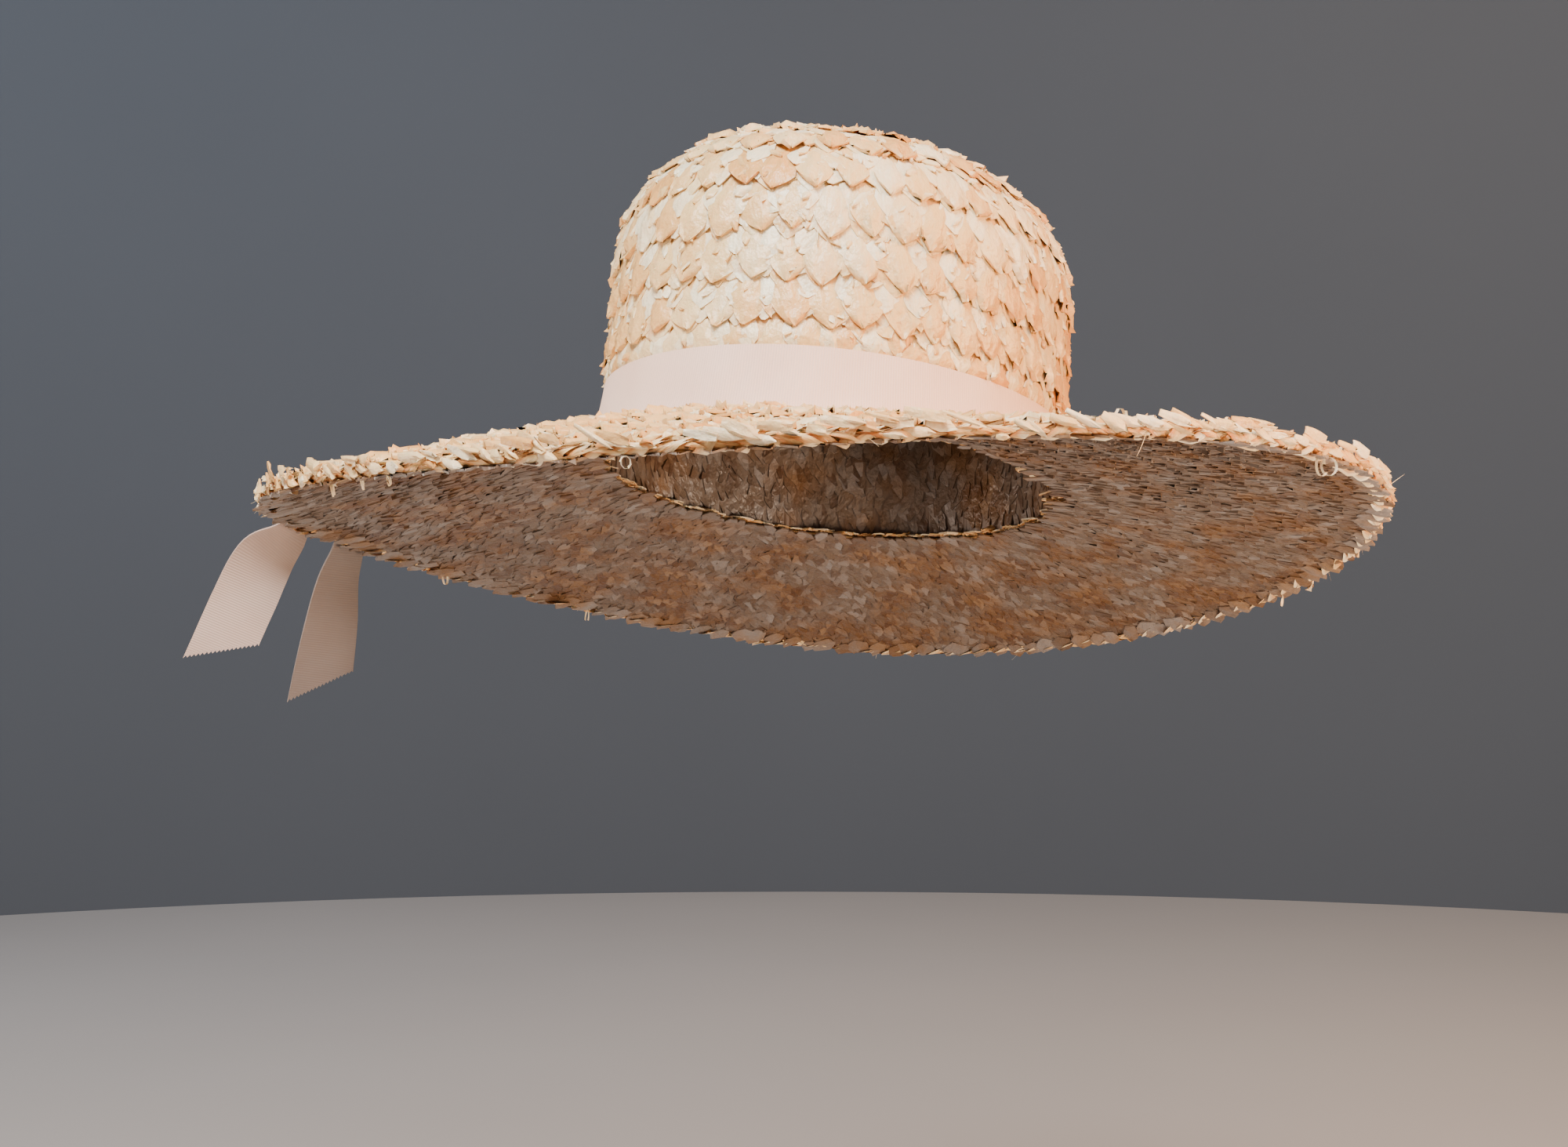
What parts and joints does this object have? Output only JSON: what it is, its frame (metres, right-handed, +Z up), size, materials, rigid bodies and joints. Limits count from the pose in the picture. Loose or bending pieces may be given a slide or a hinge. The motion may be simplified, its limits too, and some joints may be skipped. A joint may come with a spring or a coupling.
{
  "type": "wide-brim straw hat",
  "caption": "Wide-brim straw hat in overlapping braid rows, with a tall rounded crown, a flat ribbon band and ribbon ends that hang over the brim. Shades the head and face.",
  "frame": {"origin": "middle of the crown's foot, where the head goes in", "axes": "+Z up with the hat as worn, tipped 11.8 degrees back and 2 degrees to the wearer's right; the hat's front faces -Y and the wearer's left is +X"},
  "size_m": [0.4609, 0.4238, 0.2239],
  "materials": {
    "straw_braid": "glossy plaited straw, pale peach",
    "grosgrain_ribbon": "matt ribbed ribbon, pale pink"
  },
  "bodies": {
    "root": {"crown": "straw_braid", "brim": "straw_braid", "band": "grosgrain_ribbon", "knot": "grosgrain_ribbon", "tail_a": "grosgrain_ribbon", "tail_b": "grosgrain_ribbon"}
  },
  "joints": []
}
